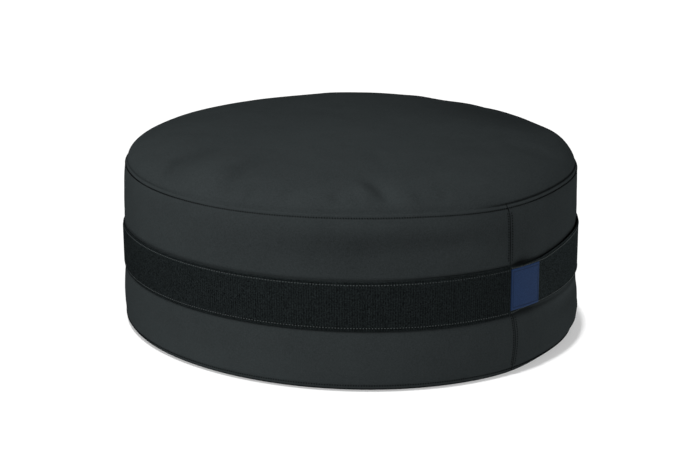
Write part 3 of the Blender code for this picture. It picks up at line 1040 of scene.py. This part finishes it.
def near_handle(degrees):
    """1 close to the handle's ends, 0 round the rest of the side."""
    away = np.abs(turn_between(0.0, degrees)) - NEAR_HANDLE_DEGREES
    return 1.0 - ease(away / NEAR_HANDLE_EASE_DEGREES)


def band_shape(degrees):
    """Inner and outer radius, foot and head of the sewn band."""
    inner = SEAT_RADIUS + PIECE_GAP + radius_swing(degrees)
    near = near_handle(degrees)
    dip = bell(turn_between(BAND_DIP_DEGREES, degrees) / BAND_DIP_HALF_DEGREES)
    foot = WEBBING_FOOT - BAND_DIP_FOOT * dip - BAND_WIDER_FOOT * near
    head = WEBBING_HEAD - BAND_DIP_HEAD * dip - BAND_NARROWER_HEAD * (1.0 - near)
    return inner, inner + WEBBING_THICKNESS, foot, head


def ply_shape(degrees, set_in=0.0, inset=0.0):
    """A layer of the handle, set in from its face and inset from its edges."""
    outer = WEBBING_OUTER_RADIUS + radius_swing(degrees) - set_in
    foot, head = handle_edges(degrees)
    return outer - HANDLE_PLY, outer, foot + inset, head - inset


def inner_ply_shape(degrees):
    """The handle's inner layer of webbing."""
    return ply_shape(degrees, HANDLE_PLY + PLY_GAP, INNER_PLY_INSET)


band_end = HANDLE_HALF_DEGREES + GAP_DEGREES
band = make_strip("sewn_band", band_end, 360.0 - band_end, band_shape, webbing_cloth)
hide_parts("webbing_band")
ply_end = HANDLE_HALF_DEGREES - GAP_DEGREES
outer_ply = make_strip("handle_outer_ply", -ply_end, ply_end, ply_shape, handle_painted_light_cloth)
inner_ply = make_strip("handle_inner_ply", -ply_end, ply_end, inner_ply_shape, inner_painted_shade_cloth)
for ply in (outer_ply, inner_ply):
    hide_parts("carry_handle")


# ---- label

LABEL_POINTS = 72
LABEL_LIFT = 0.00005
LABEL_ROUND_OFF, LABEL_ROUND_WIDTH = 0.0004, 0.0007
BORDER_DEPTH = 0.00018
LABEL_SHARP_DEGREES = 60.0


def make_label():
    """The bare woven label: a thin folded patch with a border line pressed into it."""
    n = LABEL_POINTS
    shares = np.linspace(0.0, 1.0, n)
    across, up = np.meshgrid(shares, shares, indexing="ij")
    degrees = LABEL_START_DEGREES + math.degrees(LABEL_WIDTH / WEBBING_OUTER_RADIUS) * across
    tall = LABEL_HEAD - LABEL_FOOT
    edge = np.minimum(
        np.minimum(across, 1 - across) * LABEL_WIDTH, np.minimum(up, 1 - up) * tall)
    round_off = LABEL_ROUND_OFF * (1.0 - ease(edge / LABEL_ROUND_WIDTH))
    line = BORDER_DEPTH * bell((edge - LABEL_BORDER) / BORDER_HALF_WIDTH)
    back = WEBBING_OUTER_RADIUS + radius_swing(degrees) + LABEL_LIFT
    height = LABEL_FOOT + tall * up
    points = np.concatenate([
        around(radius, degrees, height).reshape(-1, 3)
        for radius in (back + LABEL_THICKNESS - round_off - line, back)])
    number = np.arange(n * n).reshape(n, n)
    front_quads = np.stack(
        [number[:-1, :-1], number[1:, :-1], number[1:, 1:], number[:-1, 1:]], -1).reshape(-1, 4)
    ring = np.concatenate([number[0], number[1:, -1], number[-1, -2::-1], number[-2:0:-1, 0]])
    after = np.roll(ring, -1)
    rim = np.stack([ring, after, after + n * n, ring + n * n], -1)
    faces = np.concatenate([front_quads, front_quads[:, ::-1] + n * n, rim])
    flat = np.stack([across * LABEL_WIDTH, up * tall], -1).reshape(-1, 2)
    uvs = np.concatenate([flat, flat])[faces.ravel()]
    label = add_piece(
        "bare_label", settled(points), faces.tolist(), label_cloth, LABEL_SHARP_DEGREES, uvs)
    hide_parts("woven_label")


make_label()


# ---- stitches

# Threads. Each: pitch, length of a stitch, radius, material, material slot, and the share
# of the thread that lies in the cloth.
ROUND_THREAD = (STITCH_PITCH, 0.0011, 0.00056, dark_thread, "cover_cloth", 0.15)
UPRIGHT_THREAD = (STITCH_PITCH, 0.00105, 0.00048, dark_thread, "cover_cloth", 0.15)
BAND_LOWER_THREAD = (0.00242, 0.0014, 0.00034, pale_thread, "webbing", 0.15)
BAND_UPPER_THREAD = (0.00242, 0.0014, 0.00034, pale_thread, "webbing", 0.4)
HANDLE_THREAD = (0.002, 0.0013, 0.00034, pale_thread, "webbing", 0.25)
THREAD_RINGS, THREAD_SIDES = 5, 6
THREAD_END_DROP = 2.2
THREAD_SHARP_DEGREES = 80.0
# Where the band's rows are pulled deeper into the webbing, and by how much.
SUNK_DEGREES, SUNK_HALF_DEGREES, BAND_SUNK = -165.0, 30.0, 0.55
# Where the rows run: in from the webbing's edges, and short of the ends.
BAND_ROW_INSET, LOWER_ROW_WIDER, UPPER_ROW_WIDER = 0.0027, 0.0006, 0.0007
HANDLE_ROW_FROM_HEAD, HANDLE_ROW_FROM_FOOT = 0.0026, 0.0011
# The handle's upper row runs nearer to the head beside the label.
HANDLE_ROW_RISE, RISE_FROM_DEGREES, RISE_OVER_DEGREES = 0.0014, -24.0, 8.0
ROW_SINK = 0.22
ROW_END_DEGREES = 0.4
UPRIGHT_FROM_FOOT, UPRIGHT_FROM_RIM, UPRIGHT_FROM_WEBBING = 0.0075, 0.0065, 0.0025
UPRIGHT_STRETCH = 1.02
ROUND_POINTS, UPRIGHT_POINTS, BAND_POINTS, HANDLE_POINTS = 3600, 240, 2400, 900


def make_stitches(name, line, thread, sunk=0.0):
    """A row of thread stitches along a line, each dipping into the cloth at its ends."""
    points, outwards = line
    pitch, length, radius, material, slot, sink = thread
    steps = np.linalg.norm(np.diff(points, axis=0), axis=1)
    walked = np.concatenate([[0.0], np.cumsum(steps)])
    count = int(round(walked[-1] / pitch))
    places = (np.arange(count) + 0.5) * walked[-1] / count
    share = np.linspace(-1.0, 1.0, THREAD_RINGS)
    turns = np.arange(THREAD_SIDES) * 2.0 * math.pi / THREAD_SIDES

    def read(table, at):
        """A table's rows at distances along the line."""
        return np.stack([np.interp(at, walked, column) for column in table.T], -1)

    spots = read(points, places[:, None] + share * length / 2)
    normals = read(outwards, places)
    normals = normals / np.linalg.norm(normals, axis=1, keepdims=True)
    tangents = spots[:, -1] - spots[:, 0]
    tangents = tangents / np.linalg.norm(tangents, axis=1, keepdims=True)
    sideways = np.cross(normals, tangents)
    middles = spots[:, THREAD_RINGS // 2]
    away = turn_between(SUNK_DEGREES, np.degrees(np.arctan2(middles[:, 1], middles[:, 0])))
    depth = sink + sunk * bell(away / SUNK_HALF_DEGREES)
    lift = radius * (1.0 - 2.0 * depth[:, None]) - share ** 4 * radius * THREAD_END_DROP
    thick = radius * np.sqrt(np.clip(1.06 - share ** 4, 0.05, 1.0))
    centre = spots + normals[:, None] * lift[:, :, None]
    across = (np.cos(turns) * thick[:, None])[None, :, :, None]
    up = (np.sin(turns) * thick[:, None])[None, :, :, None]
    ring = sideways[:, None, None] * across + normals[:, None, None] * up
    vertices = (centre[:, :, None] + ring).reshape(-1, 3)
    n = THREAD_SIDES
    one = [
        [k * n + s, k * n + (s + 1) % n, (k + 1) * n + (s + 1) % n, (k + 1) * n + s]
        for k in range(THREAD_RINGS - 1) for s in range(n)]
    one += [list(reversed(range(n))), [(THREAD_RINGS - 1) * n + s for s in range(n)]]
    faces = [
        [index * THREAD_RINGS * n + corner for corner in face]
        for index in range(count) for face in one]
    piece = add_piece(name, vertices, faces, material, THREAD_SHARP_DEGREES)


def round_line(first, last, count, place):
    """Points and outward ways along a line round the side. place gives (radius, height)."""
    degrees = np.linspace(first, last, count)
    radius, height = place(degrees)
    return settled(around(radius, degrees, height)), around(1.0, degrees, 0.0)


def cover_line(outset, height):
    """A line on the cover's side, at a row of its sections."""
    def place(degrees):
        spots = side_places(degrees, outset, height + 0.0 * degrees)
        return np.hypot(spots[:, 0], spots[:, 1]), spots[:, 2]
    return round_line(-180.0, 180.0, ROUND_POINTS, place)


def upright_line(side):
    """One row of stitches beside the upright seam."""
    height = np.linspace(UPRIGHT_FROM_FOOT, RIM_HEIGHT - UPRIGHT_FROM_RIM, UPRIGHT_POINTS)
    degrees = side_seam_degrees(height) + math.degrees(side * SEAM_ROW_FROM_CREASE / SEAT_RADIUS)
    plain = smooth_sections(SIDE_SECTIONS)
    outset = np.interp(height, [p[1] for p in plain], [p[0] for p in plain])
    return settled(side_places(degrees, outset, height)), around(1.0, degrees, 0.0)


def webbing_line(shape, ends, count, height_of):
    """A line on the webbing's face. height_of gives its height from foot, head, degrees."""
    def place(degrees):
        inner, outer, foot, head = shape(degrees)
        return outer - ROW_SINK * (outer - inner), height_of(foot, head, degrees)
    return round_line(*ends, count, place)


make_stitches("rim_stitches", cover_line(RIM_STITCH_OUTSET, RIM_STITCH_HEIGHT), ROUND_THREAD)
make_stitches("foot_stitches", cover_line(FOOT_STITCH_OUTSET, FOOT_STITCH_HEIGHT), ROUND_THREAD)

seam_foot, seam_head = handle_edges(np.array([SEAM_MIDDLE_DEGREES]))
for side, name in ((-1, "left"), (1, "right")):
    points, outwards = upright_line(side)
    above = points[:, 2] > seam_head[0] * UPRIGHT_STRETCH + UPRIGHT_FROM_WEBBING
    below = points[:, 2] < seam_foot[0] * UPRIGHT_STRETCH - UPRIGHT_FROM_WEBBING
    for keep, part in ((above, "upper"), (below, "lower")):
        make_stitches(
            f"upright_{part}_{name}_stitches", (points[keep], outwards[keep]), UPRIGHT_THREAD)

row_end = HANDLE_HALF_DEGREES + ROW_END_DEGREES
for name, thread, height_of in (
        ("lower", BAND_LOWER_THREAD, lambda foot, head, at: (
            foot + BAND_ROW_INSET + LOWER_ROW_WIDER * near_handle(at))),
        ("upper", BAND_UPPER_THREAD, lambda foot, head, at: (
            head - BAND_ROW_INSET - UPPER_ROW_WIDER * near_handle(at)))):
    line = webbing_line(band_shape, (row_end, 360.0 - row_end), BAND_POINTS, height_of)
    make_stitches(f"band_{name}_stitches", line, thread, BAND_SUNK)

row_end = HANDLE_HALF_DEGREES - ROW_END_DEGREES
for name, height_of in (
        ("lower", lambda foot, head, at: foot + HANDLE_ROW_FROM_FOOT),
        ("upper", lambda foot, head, at: head - HANDLE_ROW_FROM_HEAD + (
            HANDLE_ROW_RISE * ease((RISE_FROM_DEGREES - at) / RISE_OVER_DEGREES)))):
    line = webbing_line(ply_shape, (-row_end, row_end), HANDLE_POINTS, height_of)
    make_stitches(f"handle_{name}_stitches", line, HANDLE_THREAD)


# ---- floor, light, camera

FLOOR_HALF = 6.0
FLOOR_GREY = 0.92
CAMERA_AZIMUTH = 11.3
CAMERA_ELEVATION = 16.043
CAMERA_DISTANCE = 1.4923
CAMERA_TARGET = Vector((0.0, 0.0, 0.072))
CAMERA_ROLL = 1.616
CAMERA_YAW = -0.109
CAMERA_LENS = 86.32
WORLD_STRENGTH = 0.18


def make_floor():
    """A plain pale floor."""
    low, high = -FLOOR_HALF, FLOOR_HALF
    mesh = bpy.data.meshes.new("floor")
    corners = [(low, low, 0), (high, low, 0), (high, high, 0), (low, high, 0)]
    mesh.from_pydata(corners, [], [(0, 1, 2, 3)])
    floor = add_object("floor", mesh)
    material, _, shader = shader_material("floor_look", 0.9, 0.1)
    shader.inputs["Base Color"].default_value = (FLOOR_GREY, FLOOR_GREY, FLOOR_GREY, 1.0)
    mesh.materials.append(material)
    floor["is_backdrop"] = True
    return floor


def from_camera_side(azimuth, elevation, distance):
    """A place seen from the target, with azimuth from the camera's own, to the right."""
    angle = math.radians(CAMERA_AZIMUTH - 90.0 + azimuth)
    rise = math.radians(elevation)
    flat = distance * math.cos(rise)
    place = (flat * math.cos(angle), flat * math.sin(angle), distance * math.sin(rise))
    return Vector(place) + CAMERA_TARGET


def facing_target(place):
    """The turn of a camera or light at this place that looks at the target."""
    return (CAMERA_TARGET - place).to_track_quat("-Z", "Y").to_matrix()


def make_camera():
    """The camera at the photograph's viewing angle."""
    data = bpy.data.cameras.new("camera")
    data.lens = CAMERA_LENS
    data.sensor_width = 36.0
    camera = add_object("camera", data)
    place = from_camera_side(0.0, CAMERA_ELEVATION, CAMERA_DISTANCE)
    yaw = Matrix.Rotation(math.radians(-CAMERA_YAW), 3, "Y")
    roll = Matrix.Rotation(math.radians(CAMERA_ROLL), 3, "Z")
    turn = facing_target(place) @ yaw @ roll
    camera.matrix_world = Matrix.Translation(place) @ turn.to_4x4()
    bpy.context.scene.camera = camera


def add_light(name, kind, azimuth, elevation, strength, pieces, **settings):
    """A light a metre from the target that falls on these pieces alone."""
    data = bpy.data.lights.new(name, kind)
    data.energy = strength
    for setting, value in settings.items():
        setattr(data, setting, value)
    light = add_object(name, data)
    place = from_camera_side(azimuth, elevation, 1.0)
    light.matrix_world = Matrix.Translation(place) @ facing_target(place).to_4x4()
    lit = bpy.data.collections.new("lit_by_" + name)
    for piece in pieces:
        lit.objects.link(piece)
    light.light_linking.receiver_collection = lit


def make_world():
    """Even light from all round."""
    world = bpy.data.worlds.new("world")
    world.use_nodes = True
    background = world.node_tree.nodes["Background"]
    background.inputs["Color"].default_value = (1.0, 1.0, 1.0, 1.0)
    background.inputs["Strength"].default_value = WORLD_STRENGTH
    bpy.context.scene.world = world


floor = make_floor()
make_camera()
soft = math.radians(30.0)
add_light("key_softbox", "AREA", -30.0, 52.0, 9.2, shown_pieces(), shape="SQUARE", size=0.6)
add_light("right_fill_softbox", "SUN", 90.0, 12.0, 0.95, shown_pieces(), angle=soft)
add_light("left_fill_softbox", "SUN", -75.0, 22.0, 0.95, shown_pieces(), angle=soft)
add_light("overhead_softbox", "SUN", -62.6, 83.0, 1.75, [floor], angle=math.radians(3.0))
add_light(
    "floor_fill", "SUN", 0.0, 90.0, 1.45, [floor], angle=math.radians(10.0), use_shadow=False)
make_world()
bpy.context.scene.view_settings.view_transform = "Standard"
